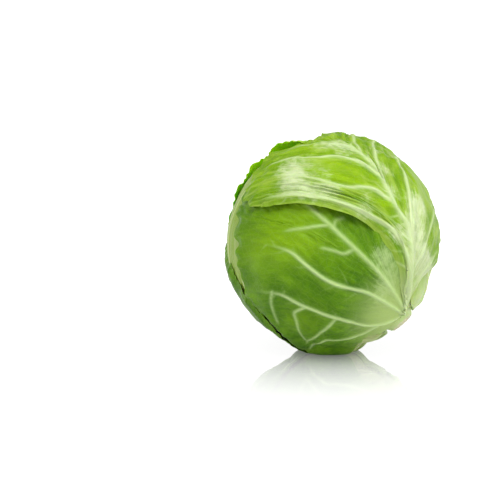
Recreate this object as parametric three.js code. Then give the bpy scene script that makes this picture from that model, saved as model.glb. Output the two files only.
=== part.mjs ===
// A head of white cabbage, lying tipped over as it does on a table.
//
// The head is modelled upright on its stem, crown up, and then tipped over. A direction on it is given
// by its polar angle from the stem and its azimuth round the stem. The wrapper leaves are drawn flat,
// in millimetres, with the tip up and the base down, and wrapped on the head round their own middle.
// Each one lies on the leaves below it, so it is lifted by what they measure where they are.

import * as THREE from "three";
import { mergeVertices } from "three/addons/utils/BufferGeometryUtils.js";

const DEG = Math.PI / 180;

// The dense inner head.
const HEART_RADIUS = 75.3;
const HEART_SEGMENTS = 30;
const HEART_RINGS = 18;
const HEART_INSET = 0.4; // how far it stays inside the form that the wrapper leaves follow
const BASE_HOLLOW = 0.15; // share of the radius by which the head is flatter at the stem
const BASE_HOLLOW_ANGLE = 27; // degrees from the stem over which that fades

// The leaf blades.
const WRAP_RADIUS = 80; // radius at which a flat leaf keeps its lengths
const BLADE = 1.0; // thickness of a blade
const GAP = 1.25; // air between a leaf and the one below
const PETIOLE = 2.2; // extra thickness at the leaf's base
const PETIOLE_LENGTH = 24;
const MIDRIB_HEIGHT = 2.6;
const MIDRIB_WIDTH = 4.5;
const RIB_HEIGHT = 1.3;
const RIB_WIDTH = 2.6;
const RIB_SIDE = 0.09; // place of the rows beside a rib, as a share of the step to the next rib
const COVER_SPREAD = 7; // how far past a leaf's margin the leaf above still lies at full height
const HOLD_SPREAD = 15; // how far past its own margin a leaf keeps the leaves below from lifting
const DRAPE = 15; // over what length it then comes down
const EDGE = 16; // width of the margin that lifts and waves
const SCALLOP = 0.04; // how far the margin is drawn in between two ribs, as a share of its reach

// How the head lies: the crown leans over from upright, towards a heading round the vertical.
const LEAN = 45.3;
const HEADING = 155.1;
const TURN = 103.4; // the head's turn about its own stem, before it leans
const CENTRE = new THREE.Vector3(0, 0, 82.6); // the head's middle over the surface it rests on
const FLAT_ANGLE = 12; // degrees round the lowest point that are pressed flat
const FLAT_FADE = 23;

// The cut stem.
const STEM_RADIUS = 10;
const STEM_END_RADIUS = 11;
const STEM_TOP = 65; // where it leaves the inner head, from the head's middle
const STEM_CUT = 79;
const STEM_BEVEL = 1.5;
const STEM_SIDES = 24;

const smoothstep = (low, high, x) => THREE.MathUtils.smoothstep(x, low, high);

// A direction from the head's middle. Polar angle 0 is the stem and 180 the crown.
function direction(polar, azimuth) {
  const p = polar * DEG;
  const a = azimuth * DEG;
  return new THREE.Vector3(
    Math.sin(p) * Math.cos(a),
    Math.sin(p) * Math.sin(a),
    -Math.cos(p),
  );
}

function formRadius(dir) {
  const polar = Math.acos(THREE.MathUtils.clamp(-dir.z, -1, 1)) / DEG;
  return (
    HEART_RADIUS *
    (1 - BASE_HOLLOW * Math.exp(-((polar / BASE_HOLLOW_ANGLE) ** 2)))
  );
}

// A smooth curve through evenly spaced values that never overshoots them.
function through(values, t) {
  const last = values.length - 1;
  const i = Math.min(Math.floor(t), last - 1);
  const step = (k) => values[k + 1] - values[k];
  const slope = (k) => {
    if (k === 0) return step(0);
    if (k === last) return step(last - 1);
    const before = step(k - 1);
    const after = step(k);
    return before * after <= 0 ? 0 : (2 * before * after) / (before + after);
  };
  const f = t - i;
  const g = 1 - f;
  return (
    values[i] * (1 + 2 * f) * g * g +
    slope(i) * f * g * g +
    values[i + 1] * f * f * (3 - 2 * f) -
    slope(i + 1) * f * f * g
  );
}

// How far a flat point is from a segment, and which share of the way along it is nearest.
function fromSegment(point, a, b) {
  const edge = b.clone().sub(a);
  const t = THREE.MathUtils.clamp(
    point.clone().sub(a).dot(edge) / (edge.lengthSq() || 1),
    0,
    1,
  );
  return { t, gap: point.distanceTo(a.clone().addScaledVector(edge, t)) };
}

// The right half of a plain leaf. Each row is a rib, from the midrib out to the margin. The first row
// is the lower margin, from the cut base out, and the last one is half the margin at the tip.
const PLAIN_HALF = [
  [[0, -102], [10, -95], [24, -78], [48, -67], [74, -50]],
  [[0, -94], [14, -72], [36, -53], [62, -38], [93, -22]],
  [[0, -76], [17, -48], [41, -26], [68, -8], [100, 8]],
  [[0, -50], [15, -20], [37, 4], [62, 22], [92, 38]],
  [[0, -20], [12, 8], [30, 30], [50, 48], [73, 66]],
  [[0, 18], [8, 40], [18, 56], [30, 70], [43, 84]],
  [[0, 80], [3, 82], [6, 84], [9, 86], [13, 88]],
];

// Above its middle the half can be drawn out longer, and blunter at the tip.
function plainHalf(side, width = 1, length = 1, blunt = 0) {
  const reach = 88;
  return PLAIN_HALF.map((rib) =>
    rib.map(([x, y]) => {
      const upper = Math.max(y, 0);
      const wide = width * (1 + (blunt * upper) / reach);
      return [side * x * wide, y + upper * (length - 1)];
    }),
  );
}

class Leaf {
  // polar and azimuth place the leaf's middle, and spin turns its tip towards higher azimuths. bumps
  // are the places where its margin stands off the head: [x, y, radius, height].
  constructor({ polar, azimuth, spin, ...rest }) {
    Object.assign(this, { gap: GAP, bumps: [], rests: false }, rest);
    const p = polar * DEG;
    const a = azimuth * DEG;
    const alongPolar = new THREE.Vector3(
      Math.cos(p) * Math.cos(a),
      Math.cos(p) * Math.sin(a),
      Math.sin(p),
    );
    const alongAzimuth = new THREE.Vector3(-Math.sin(a), Math.cos(a), 0);
    const turn = spin * DEG;
    this.middle = direction(polar, azimuth);
    this.up = alongPolar
      .clone()
      .multiplyScalar(Math.cos(turn))
      .addScaledVector(alongAzimuth, Math.sin(turn));
    this.across = alongAzimuth
      .multiplyScalar(Math.cos(turn))
      .addScaledVector(alongPolar, -Math.sin(turn));
    this.margin = this.marginPoints();
    this.ribs = this.ribLines();
  }

  // The flat leaf's point on rib v, at share u of the way from the midrib, left of it below 0.
  flatPoint(u, v) {
    const half = u < 0 ? this.left : this.right;
    const between = 0.5 - 0.5 * Math.cos(2 * Math.PI * v);
    const reach = Math.abs(u) * (1 - SCALLOP * between * u ** 4);
    const at = (k, axis) =>
      through(
        half[k].map((point) => point[axis]),
        reach * 4,
      );
    const rows = half.map((_, k) => k);
    return new THREE.Vector2(
      through(
        rows.map((k) => at(k, 0)),
        v,
      ),
      through(
        rows.map((k) => at(k, 1)),
        v,
      ),
    );
  }

  get lastRib() {
    return this.left.length - 1;
  }

  // The margin from the base up the left side, over the tip and back, each point with its rib number.
  marginPoints() {
    const points = [];
    const add = (u, v) => points.push({ at: this.flatPoint(u, v), rib: v });
    const last = this.lastRib;
    const steps = last * 6;
    for (let i = 0; i < 8; i++) add(-i / 8, 0);
    for (let i = 0; i < steps; i++) add(-1, (i / steps) * last);
    for (let i = 0; i < 4; i++) add(-1 + i / 2, last);
    for (let i = 0; i < steps; i++) add(1, (1 - i / steps) * last);
    for (let i = 0; i < 8; i++) add(1 - i / 8, 0);
    return points;
  }

  // The midrib and the side ribs, each with its height at its root.
  ribLines() {
    const lines = [];
    const midrib = [];
    for (let i = 0; i <= 24; i++)
      midrib.push(this.flatPoint(0, (i / 24) * this.lastRib));
    lines.push({ points: midrib, height: MIDRIB_HEIGHT, width: MIDRIB_WIDTH });
    for (let k = 1; k < this.lastRib; k++)
      for (const side of [-1, 1]) {
        const points = [];
        for (let i = 0; i <= 12; i++) points.push(this.flatPoint((side * i) / 12, k));
        lines.push({ points, height: RIB_HEIGHT, width: RIB_WIDTH });
      }
    return lines;
  }

  directionAt({ x, y }) {
    const away = Math.hypot(x, y);
    const angle = away / WRAP_RADIUS;
    const sine = away > 0 ? Math.sin(angle) / away : 0;
    return this.middle
      .clone()
      .multiplyScalar(Math.cos(angle))
      .addScaledVector(this.across, x * sine)
      .addScaledVector(this.up, y * sine)
      .normalize();
  }

  flatOf(dir) {
    const x = dir.dot(this.across);
    const y = dir.dot(this.up);
    const sine = Math.hypot(x, y);
    const away =
      sine > 1e-9 ? (WRAP_RADIUS * Math.atan2(sine, dir.dot(this.middle))) / sine : 0;
    return new THREE.Vector2(x * away, y * away);
  }

  // How far a flat point is inside the margin, below 0 outside it, and the rib number there.
  fromMargin(point) {
    let nearest = Infinity;
    let rib = 0;
    let inside = false;
    this.margin.forEach(({ at: a, rib: ribHere }, i) => {
      const { at: b, rib: ribNext } = this.margin[(i + 1) % this.margin.length];
      const { gap, t } = fromSegment(point, a, b);
      if (gap < nearest) {
        nearest = gap;
        rib = THREE.MathUtils.lerp(ribHere, ribNext, t);
      }
      if (a.y > point.y !== b.y > point.y)
        if (point.x < a.x + ((point.y - a.y) / (b.y - a.y)) * (b.x - a.x)) inside = !inside;
    });
    return { depth: inside ? nearest : -nearest, rib };
  }

  // 1 over the leaf and for a spread past its margin, falling to 0 from there.
  cover(dir, spread) {
    const { depth } = this.fromMargin(this.flatOf(dir));
    return smoothstep(-spread - DRAPE, -spread, depth);
  }

  // The ribs' height over the blade. A spread over 1 gives the softer form that a leaf above follows.
  ribHeight(point, spread = 1) {
    let most = 0;
    for (const { points, height, width } of this.ribs)
      for (let i = 0; i + 1 < points.length; i++) {
        const { gap, t } = fromSegment(point, points[i], points[i + 1]);
        const taper = 1 - (0.75 * (i + t)) / (points.length - 1);
        most = Math.max(
          most,
          height * taper * Math.exp(-((gap / (width * spread)) ** 2)),
        );
      }
    return most;
  }

  thickness(point) {
    const fromBase = point.distanceTo(this.margin[0].at);
    return BLADE + PETIOLE * Math.exp(-((fromBase / PETIOLE_LENGTH) ** 2));
  }

  // How far the margin stands off the head, before what lies over it presses it down.
  lift(point) {
    const { depth, rib } = this.fromMargin(point);
    const edge = smoothstep(-EDGE, 0, -Math.max(depth, 0));
    const fromBase = smoothstep(20, 45, point.distanceTo(this.margin[0].at));
    const wave = 0.5 + 0.5 * Math.cos(2 * Math.PI * rib);
    let height = this.frill * wave * fromBase;
    for (const [x, y, radius, rise] of this.bumps)
      height += rise * Math.exp(-(((point.x - x) ** 2 + (point.y - y) ** 2) / radius ** 2));
    return height * edge;
  }
}

// The wrapper leaves, from the innermost out.
const leaves = [
  new Leaf({
    name: "wrapper_leaf_1_low",
    colour: "#c3d68a",
    polar: 84,
    azimuth: -72,
    spin: 4,
    left: plainHalf(-1, 1.1),
    right: plainHalf(1, 1.1),
    frill: 1,
  }),
  new Leaf({
    name: "wrapper_leaf_2_crown",
    colour: "#8fb83a",
    polar: 84,
    azimuth: 172,
    spin: -6,
    left: plainHalf(-1, 1, 1.65, 0.6),
    right: plainHalf(1, 1, 1.65, 0.4),
    gap: 1.75,
    frill: 1.5,
    bumps: [[20, 140, 34, 4]],
  }),
  new Leaf({
    name: "wrapper_leaf_3_front",
    colour: "#86b02c",
    polar: 80,
    azimuth: 9,
    spin: -3,
    left: [
      [[-4, -98], [-20, -86], [-42, -77], [-66, -84], [-92, -80]],
      [[-3, -92], [-26, -76], [-42, -50], [-72, -46], [-102, -40]],
      [[-3, -88], [-28, -70], [-46, -42], [-66, -14], [-96, 10]],
      [[-3, -72], [-17, -43], [-31, -17], [-42, 14], [-76, 42]],
      [[-3, -34], [-12, -6], [-22, 14], [-38, 36], [-60, 62]],
      [[-3, 4], [-13, 17], [-24, 32], [-36, 50], [-46, 74]],
      [[-4, 36], [-9, 48], [-16, 60], [-24, 72], [-30, 84]],
      [[-3, 84], [-5, 86], [-8, 87], [-11, 88], [-15, 89]],
    ],
    right: [
      [[-4, -98], [10, -90], [26, -74], [48, -62], [72, -48]],
      [[-3, -92], [14, -76], [36, -58], [60, -40], [88, -20]],
      [[-3, -88], [16, -58], [40, -30], [66, -8], [94, 10]],
      [[-3, -72], [12, -32], [34, 0], [58, 22], [86, 38]],
      [[-3, -34], [8, 4], [26, 32], [46, 50], [72, 62]],
      [[-3, 4], [4, 28], [16, 46], [32, 60], [54, 76]],
      [[-4, 36], [1, 52], [9, 65], [19, 76], [30, 86]],
      [[-3, 84], [0, 86], [3, 87], [6, 88], [10, 89]],
    ],
    frill: 2,
    bumps: [[-98, -40, 34, 2]],
  }),
  new Leaf({
    name: "wrapper_leaf_4_right",
    colour: "#9cc152",
    polar: 84,
    azimuth: 126,
    spin: 0,
    left: [
      [[0, -102], [-16, -101], [-34, -104], [-52, -108], [-68, -104]],
      [[0, -94], [-18, -86], [-38, -80], [-58, -77], [-80, -70]],
      [[0, -76], [-18, -52], [-40, -38], [-62, -30], [-88, -22]],
      [[0, -50], [-16, -22], [-37, 0], [-61, 12], [-90, 20]],
      [[0, -20], [-12, 8], [-30, 30], [-50, 46], [-76, 58]],
      [[0, 18], [-8, 40], [-18, 56], [-31, 70], [-46, 82]],
      [[0, 80], [-3, 82], [-6, 84], [-10, 86], [-15, 88]],
    ],
    right: plainHalf(1),
    frill: 3,
  }),
  new Leaf({
    name: "wrapper_leaf_5_top",
    colour: "#a6c95a",
    polar: 85,
    azimuth: 52,
    spin: 16,
    left: [
      [[18, -107], [-4, -72], [-24, -35], [-62, -6], [-100, 14]],
      [[4, -95], [-8, -54], [-30, -22], [-62, 6], [-100, 30]],
      [[-1, -60], [-14, -28], [-36, -4], [-66, 20], [-100, 44]],
      [[-7, -18], [-24, -5], [-46, 12], [-70, 34], [-96, 58]],
      [[-10, 10], [-24, 26], [-42, 38], [-62, 54], [-80, 70]],
      [[-9, 38], [-18, 52], [-28, 61], [-40, 68], [-52, 75]],
      [[-8, 74], [-11, 73], [-15, 72], [-19, 71], [-25, 70]],
    ],
    right: [
      [[18, -107], [12, -88], [20, -72], [37, -61], [62, -47]],
      [[4, -95], [11, -62], [28, -38], [54, -18], [86, 0]],
      [[-1, -60], [11, -14], [29, 18], [50, 34], [84, 40]],
      [[-7, -18], [5, 16], [22, 40], [42, 54], [68, 64]],
      [[-10, 10], [0, 38], [13, 54], [28, 66], [48, 78]],
      [[-9, 38], [-2, 54], [7, 66], [17, 76], [28, 86]],
      [[-8, 74], [-4, 76], [0, 79], [4, 81], [9, 84]],
    ],
    gap: 1.7,
    frill: 1.5,
    bumps: [
      [-48, -16, 28, 5],
      [-86, 6, 28, 3],
      [-50, 74, 26, 4],
    ],
  }),
  new Leaf({
    name: "wrapper_leaf_6_side",
    colour: "#79a52a",
    polar: 84,
    azimuth: -128,
    spin: -4,
    left: plainHalf(-1, 1.1),
    right: plainHalf(1, 0.9),
    frill: 3,
    rests: true,
  }),
];

// The head is nested in three turns: about its stem, over, and round to its heading.
const head = new THREE.Group();
head.rotation.z = TURN * DEG;
const leaning = new THREE.Group();
leaning.rotation.y = LEAN * DEG;
leaning.add(head);
const cabbage = new THREE.Group();
cabbage.rotation.z = HEADING * DEG;
cabbage.position.copy(CENTRE);
cabbage.add(leaning);
cabbage.updateMatrixWorld(true);

const down = new THREE.Vector3(0, 0, -1).transformDirection(
  head.matrixWorld.clone().invert(),
);

// What the leaves below a leaf measure in a direction, with the air between them.
function stackBelow(index, dir) {
  let height = leaves[index].gap;
  for (let j = 0; j < index; j++) {
    const share = leaves[j].cover(dir, COVER_SPREAD);
    if (share > 0) {
      const point = leaves[j].flatOf(dir);
      height +=
        share *
        (leaves[j].gap +
          leaves[j].thickness(point) +
          leaves[j].ribHeight(point, 2.2) +
          openLift(j, dir));
    }
  }
  return height;
}

// A leaf's lift, where no leaf lies over it.
function openLift(index, dir) {
  let open = 1;
  for (let k = index + 1; k < leaves.length; k++)
    open *= 1 - leaves[k].cover(dir, HOLD_SPREAD);
  return leaves[index].lift(leaves[index].flatOf(dir)) * open;
}

const COLUMNS = [0, 0.05, 0.15, 0.27, 0.4, 0.52, 0.64, 0.76, 0.88, 1];

function rowPlaces(lastRib) {
  const rows = [0, 0.25, 0.5, 0.75];
  for (let k = 1; k < lastRib; k++)
    rows.push(k - RIB_SIDE, k, k + RIB_SIDE, k + 0.28, k + 0.5, k + 0.72);
  rows.push(lastRib);
  return rows;
}

// A leaf is one closed shell: its outer face, its inner face and the rim between them.
function leafGeometry(leaf, index) {
  const columns = [...COLUMNS.slice(1).map((u) => -u).reverse(), ...COLUMNS];
  const rows = rowPlaces(leaf.lastRib);
  const wide = columns.length;
  const outer = [];
  const inner = [];
  for (const v of rows)
    for (const u of columns) {
      const flat = leaf.flatPoint(u, v);
      const dir = leaf.directionAt(flat);
      const toDown = dir.dot(down);
      const press = leaf.rests
        ? smoothstep(Math.cos(FLAT_FADE * DEG), Math.cos(FLAT_ANGLE * DEG), toDown)
        : 0;
      const bottom = formRadius(dir) + stackBelow(index, dir) + openLift(index, dir);
      const top = bottom + leaf.thickness(flat) + leaf.ribHeight(flat);
      const lowered = THREE.MathUtils.lerp(top, CENTRE.z / toDown, press);
      outer.push(dir.clone().multiplyScalar(lowered));
      inner.push(
        dir.clone().multiplyScalar(
          THREE.MathUtils.lerp(bottom, lowered - leaf.thickness(flat), press),
        ),
      );
    }
  const positions = [...outer, ...inner].flatMap((p) => p.toArray());
  const under = outer.length;
  const faces = [];
  const quad = (a, b, c, d) => faces.push(a, b, c, a, c, d);
  for (let r = 0; r + 1 < rows.length; r++)
    for (let c = 0; c + 1 < wide; c++) {
      const a = r * wide + c;
      quad(a, a + 1, a + wide + 1, a + wide);
      // The same diagonal, turned round.
      faces.push(under + a, under + a + wide + 1, under + a + 1);
      faces.push(under + a, under + a + wide, under + a + wide + 1);
    }
  const rim = (a, b) => quad(b, a, under + a, under + b);
  const lastRow = (rows.length - 1) * wide;
  for (let c = 0; c + 1 < wide; c++) {
    rim(c, c + 1);
    rim(lastRow + c + 1, lastRow + c);
  }
  for (let r = 0; r + 1 < rows.length; r++) {
    rim((r + 1) * wide, r * wide);
    rim(r * wide + wide - 1, (r + 1) * wide + wide - 1);
  }
  const geometry = new THREE.BufferGeometry();
  geometry.setAttribute("position", new THREE.Float32BufferAttribute(positions, 3));
  geometry.setIndex(faces);
  geometry.computeVertexNormals();
  return geometry;
}

// The inner head of tightly packed leaves, as one closed body.
function heartGeometry() {
  const sphere = new THREE.SphereGeometry(1, HEART_SEGMENTS, HEART_RINGS);
  sphere.deleteAttribute("normal");
  sphere.deleteAttribute("uv");
  const geometry = mergeVertices(sphere.rotateX(Math.PI / 2));
  const position = geometry.getAttribute("position");
  for (let i = 0; i < position.count; i++) {
    const dir = new THREE.Vector3().fromBufferAttribute(position, i).normalize();
    dir.multiplyScalar(formRadius(dir) - HEART_INSET);
    position.setXYZ(i, dir.x, dir.y, dir.z);
  }
  geometry.computeVertexNormals();
  return geometry;
}

// The stub of stem that is left where the head was cut off.
function stemGeometry() {
  const profile = [
    [0, -STEM_CUT],
    [STEM_END_RADIUS - STEM_BEVEL, -STEM_CUT],
    [STEM_END_RADIUS, -STEM_CUT + STEM_BEVEL],
    [STEM_RADIUS, -STEM_TOP],
    [0, -STEM_TOP],
  ].map(([x, y]) => new THREE.Vector2(x, y));
  return new THREE.LatheGeometry(profile, STEM_SIDES).rotateX(Math.PI / 2);
}

function addPiece(name, geometry, colour, roughness) {
  const material = new THREE.MeshStandardMaterial({ color: colour, roughness, metalness: 0 });
  const mesh = new THREE.Mesh(geometry, material);
  mesh.name = name;
  head.add(mesh);
}

addPiece("inner_head", heartGeometry(), "#d5e0a4", 0.5);
leaves.forEach((leaf, index) =>
  addPiece(leaf.name, leafGeometry(leaf, index), leaf.colour, 0.42),
);
addPiece("stem_stump", stemGeometry(), "#e4e6c4", 0.6);

export default cabbage;
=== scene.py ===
"""A head of white cabbage on a pale glossy floor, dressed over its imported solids.

The head is worked out upright on its stem, crown up, and then tipped over. A wrapper leaf is drawn
flat in millimetres, wrapped on the head round its own middle, and laid on the leaves below it.
"""

import logging
import math
from collections.abc import Iterator
from dataclasses import dataclass, field
from enum import Enum

import bpy
import numpy as np
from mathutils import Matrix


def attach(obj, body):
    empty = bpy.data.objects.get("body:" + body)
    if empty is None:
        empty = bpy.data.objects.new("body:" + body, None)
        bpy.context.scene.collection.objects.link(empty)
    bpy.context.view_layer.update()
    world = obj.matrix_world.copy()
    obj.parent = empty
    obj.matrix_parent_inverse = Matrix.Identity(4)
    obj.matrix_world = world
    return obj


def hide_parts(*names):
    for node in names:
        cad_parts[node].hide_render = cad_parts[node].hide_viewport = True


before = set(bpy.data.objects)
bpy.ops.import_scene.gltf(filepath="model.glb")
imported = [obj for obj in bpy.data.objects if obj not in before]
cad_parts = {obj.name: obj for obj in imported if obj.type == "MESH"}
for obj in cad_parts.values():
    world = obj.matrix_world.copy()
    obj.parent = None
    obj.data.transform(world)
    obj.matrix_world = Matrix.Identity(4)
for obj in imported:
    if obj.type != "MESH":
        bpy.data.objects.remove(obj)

Array = np.ndarray
Rib = list[tuple[float, float]]
Colour = tuple[float, float, float]
Near = tuple[tuple[slice, slice], Array, Array]
MM = 0.001
PHOTO_WIDTH = 500
log = logging.getLogger("cabbage")


def smoothstep(low: float, high: float, x: Array) -> Array:
    """Rises smoothly from 0 at low to 1 at high."""
    t = np.clip((x - low) / (high - low), 0.0, 1.0)
    return t * t * (3 - 2 * t)


def bell(distance: Array, width: float | Array) -> Array:
    """A bell curve, 1 at distance 0 and a third of that at the width."""
    return np.exp(-((distance / width) ** 2))


def through(values: Array, t: Array) -> Array:
    """Reads a smooth curve through evenly spaced values, which never overshoots them.

    Args:
        values: The values, the evenly spaced ones along the first axis.
        t: Where to read the curve, in steps, one number for each column of values.

    Returns:
        The curve's value in each column.
    """
    steps = np.diff(values, axis=0)
    before, after = steps[:-1], steps[1:]
    total = np.where(before * after > 0, before + after, 1.0)
    middle = np.where(before * after > 0, 2 * before * after / total, 0.0)
    slopes = np.concatenate([steps[:1], middle, steps[-1:]])
    low = np.minimum(t.astype(int), len(values) - 2)
    f = t - low
    g = 1 - f

    def pick(rows: Array, at: Array) -> Array:
        """Takes one row for each column."""
        return np.take_along_axis(rows, at[None], axis=0)[0]

    return (
        pick(values, low) * (1 + 2 * f) * g * g
        + pick(slopes, low) * f * g * g
        + pick(values, low + 1) * f * f * (3 - 2 * f)
        - pick(slopes, low + 1) * f * f * g
    )


@dataclass(frozen=True)
class HeadForm:
    """The round form under the wrapper leaves, and how the head lies on the floor."""

    radius: float = 75.3
    base_hollow: float = 0.05
    base_hollow_angle: float = 24.0
    fuller: float = 0.015
    fuller_angle: float = 48.0
    fuller_toward: tuple[float, float, float] = (0.95, -0.25, -0.2)
    lean: float = 45.3
    heading: float = 155.1
    turn: float = 103.4
    height: float = 82.6
    flat_angle: float = 12.0
    flat_fade: float = 23.0
    joined_from: float = 34.0
    joined_full: float = 12.0

    def direction(self, polar: Array | float, azimuth: Array | float) -> Array:
        """Gives directions from the head's middle.

        Args:
            polar: Degrees from the stem, 180 at the crown.
            azimuth: Degrees round the stem.

        Returns:
            Unit vectors in the upright head's frame.
        """
        p, a = np.radians(polar), np.radians(azimuth)
        return np.stack([np.sin(p) * np.cos(a), np.sin(p) * np.sin(a), -np.cos(p)], axis=-1)

    def form_radius(self, dirs: Array) -> Array:
        """Gives the form's radius in each direction, less at the stem and more at the right."""
        polar = self.polar_of(dirs)
        right = self.turning().T @ np.array(self.fuller_toward)
        away = np.degrees(np.arccos(np.clip(dirs @ right, -1, 1)))
        share = 1 - self.base_hollow * bell(polar, self.base_hollow_angle)
        return self.radius * (share + self.fuller * bell(away, self.fuller_angle))

    def polar_of(self, dirs: Array) -> Array:
        """Gives how many degrees each direction is from the stem."""
        return np.degrees(np.arccos(np.clip(-dirs[..., 2], -1, 1)))

    def joined(self, polar: Array) -> Array:
        """Gives how far the leaf bases have grown together, 1 at the stem."""
        return smoothstep(self.joined_from, self.joined_full, polar)

    def turning(self) -> Array:
        """Gives the matrix that tips the upright head over."""

        def about_z(degrees: float) -> Array:
            """A turn about the vertical."""
            c, s = math.cos(math.radians(degrees)), math.sin(math.radians(degrees))
            return np.array([[c, -s, 0], [s, c, 0], [0, 0, 1]])

        c, s = math.cos(math.radians(self.lean)), math.sin(math.radians(self.lean))
        lean = np.array([[c, 0, s], [0, 1, 0], [-s, 0, c]])
        return about_z(self.heading) @ lean @ about_z(self.turn)

    def place(self, points: Array) -> Array:
        """Takes points of the upright head, in millimetres, to where they lie, in metres."""
        placed = points @ self.turning().T
        placed[..., 2] = np.maximum(placed[..., 2] + self.height, 0.0)
        return placed * MM

    def downness(self, dirs: Array) -> Array:
        """Gives the cosine between each direction and straight down."""
        return dirs @ (self.turning().T @ np.array([0.0, 0.0, -1.0]))


FORM = HeadForm()


@dataclass(frozen=True)
class Blade:
    """The measures that all the wrapper leaves share."""

    wrap_radius: float = 80.0
    thickness: float = 1.0
    gap: float = 0.4
    petiole: float = 2.2
    petiole_length: float = 24.0
    cover_spread: float = 4.0
    hold_spread: float = -4.0
    drape: float = 11.0
    edge: float = 16.0
    scallop: float = 0.014
    frill_pitch: float = 13.0
    settle: float = 1.9
    joined_radius: float = 79.5
    joined_step: float = 0.3
    cells_across: int = 186
    cells_along: int = 252
    crowd_across: float = 0.35
    crowd_along: float = 0.3
    relief_depth: float = 1.6
    edge_reach: float = 3.5
    base_reach: float = 58.0
    flat_margin: float = 9.0
    thin_margin: float = 7.0
    free_from: float = 20.0
    free_full: float = 45.0
    texture_from: float = 18.0
    texture_full: float = 60.0
    fringe_reach: float = 5.0
    lip_reach: float = 27.0
    lip_full: float = 9.0
    crease_width: float = 2.2
    thinnest_rib: float = 0.85
    pale_core: float = 0.72
    core_width: float = 1.1
    halo_width: float = 3.2
    wall_share: float = 0.95
    uneven: float = 0.4
    uneven_turns: float = 11.0
    teeth_turns: float = 34.0
    smooth_under: float = 55.0


BLADE = Blade()


@dataclass(frozen=True)
class RibForm:
    """How high and wide a rib's swelling is, and the narrow crest along it."""

    height: float
    width: float
    crest: float
    crest_width: float


MIDRIB = RibForm(height=2.6, width=4.5, crest=1.3, crest_width=2.0)
SIDE_RIB = RibForm(height=1.3, width=2.6, crest=0.9, crest_width=1.5)


@dataclass(frozen=True)
class Branching:
    """How the small veins leave a side rib, with the least and the most of each measure."""

    first: tuple[float, float] = (16, 24)
    apart: tuple[float, float] = (7, 13)
    length: tuple[float, float] = (10, 24)
    angle: tuple[float, float] = (38, 62)
    bend: tuple[float, float] = (-0.28, 0.18)
    parts: int = 6
    end_room: float = 8
    height: float = 0.34
    width: float = 1.2
    pale: float = 0.4
    pale_width: float = 1.1


BRANCHING = Branching()

PLAIN_HALF: list[Rib] = [
    [(0, -102), (10, -95), (24, -78), (48, -67), (74, -50)],
    [(0, -94), (14, -72), (36, -53), (62, -38), (93, -22)],
    [(0, -76), (17, -48), (41, -26), (68, -8), (100, 8)],
    [(0, -50), (15, -20), (37, 4), (62, 22), (92, 38)],
    [(0, -20), (12, 8), (30, 30), (50, 48), (73, 66)],
    [(0, 18), (8, 40), (18, 56), (30, 70), (43, 84)],
    [(0, 80), (3, 82), (6, 84), (9, 86), (13, 88)],
]
PLAIN_REACH = 88.0


def plain_half(side: int, width: float = 1, length: float = 1, blunt: float = 0) -> list[Rib]:
    """Gives one half of a plain leaf, rib by rib, from the midrib out to the margin.

    Args:
        side: -1 for the left half and 1 for the right half.
        width: How much wider than the plain leaf it is.
        length: How much longer it is above its middle.
        blunt: How much wider still it grows towards the tip.

    Returns:
        The ribs' points on the flat leaf.
    """
    half = []
    for rib in PLAIN_HALF:
        points = []
        for x, y in rib:
            upper = max(y, 0)
            wide = width * (1 + blunt * upper / PLAIN_REACH)
            points.append((side * x * wide, y + upper * (length - 1)))
        half.append(points)
    return half


class FlatMap:
    """Fields over a flat leaf, on a grid of square cells."""

    LOW = (-150.0, -150.0)
    CELLS = (601, 701)
    CELL = 0.5

    def __init__(self) -> None:
        """Lays out the grid."""
        x = self.LOW[0] + self.CELL * np.arange(self.CELLS[0])
        y = self.LOW[1] + self.CELL * np.arange(self.CELLS[1])
        self.x, self.y = np.meshgrid(x, y)

    def segment(self, a: Array, b: Array, reach: float) -> Near:
        """Measures the cells near a segment.

        Args:
            a: Its start.
            b: Its end.
            reach: How far from it the cells may be.

        Returns:
            The window of cells, their distances from it, and how far along it they are, from 0 to 1.
        """
        low = np.floor((np.minimum(a, b) - reach - self.LOW) / self.CELL).astype(int)
        high = np.ceil((np.maximum(a, b) + reach - self.LOW) / self.CELL).astype(int) + 1
        low = np.maximum(low, 0)
        window = (slice(low[1], max(high[1], 0)), slice(low[0], max(high[0], 0)))
        x, y = self.x[window] - a[0], self.y[window] - a[1]
        edge = b - a
        t = np.clip((x * edge[0] + y * edge[1]) / max(edge @ edge, 1e-9), 0, 1)
        return window, np.hypot(x - t * edge[0], y - t * edge[1]), t

    def follow(self, line: Array, reach: float) -> Iterator[Near]:
        """Measures the cells near each segment of a line, and how far along the line they are."""
        for i in range(len(line) - 1):
            window, gap, t = self.segment(line[i], line[i + 1], reach)
            yield window, gap, (i + t) / (len(line) - 1)

    def read(self, values: Array, flat: Array) -> Array:
        """Reads a field at flat points, between its cells."""
        column = np.clip((flat[..., 0] - self.LOW[0]) / self.CELL, 0, self.CELLS[0] - 1.001)
        row = np.clip((flat[..., 1] - self.LOW[1]) / self.CELL, 0, self.CELLS[1] - 1.001)
        i, j = column.astype(int), row.astype(int)
        s, t = column - i, row - j
        low = values[j, i] * (1 - s) + values[j, i + 1] * s
        high = values[j + 1, i] * (1 - s) + values[j + 1, i + 1] * s
        return low * (1 - t) + high * t


def swell(values: Array, reach: int) -> Array:
    """Raises a field to the most that it has nearby, and softens the result."""
    most = values
    for axis in (0, 1):
        grown = most
        for shift in range(-reach, reach + 1):
            grown = np.maximum(grown, np.roll(most, shift, axis))
        most = grown
    for axis in (0, 1):
        most = sum(np.roll(most, s, axis) for s in range(-reach, reach + 1)) / (2 * reach + 1)
    return most


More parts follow.
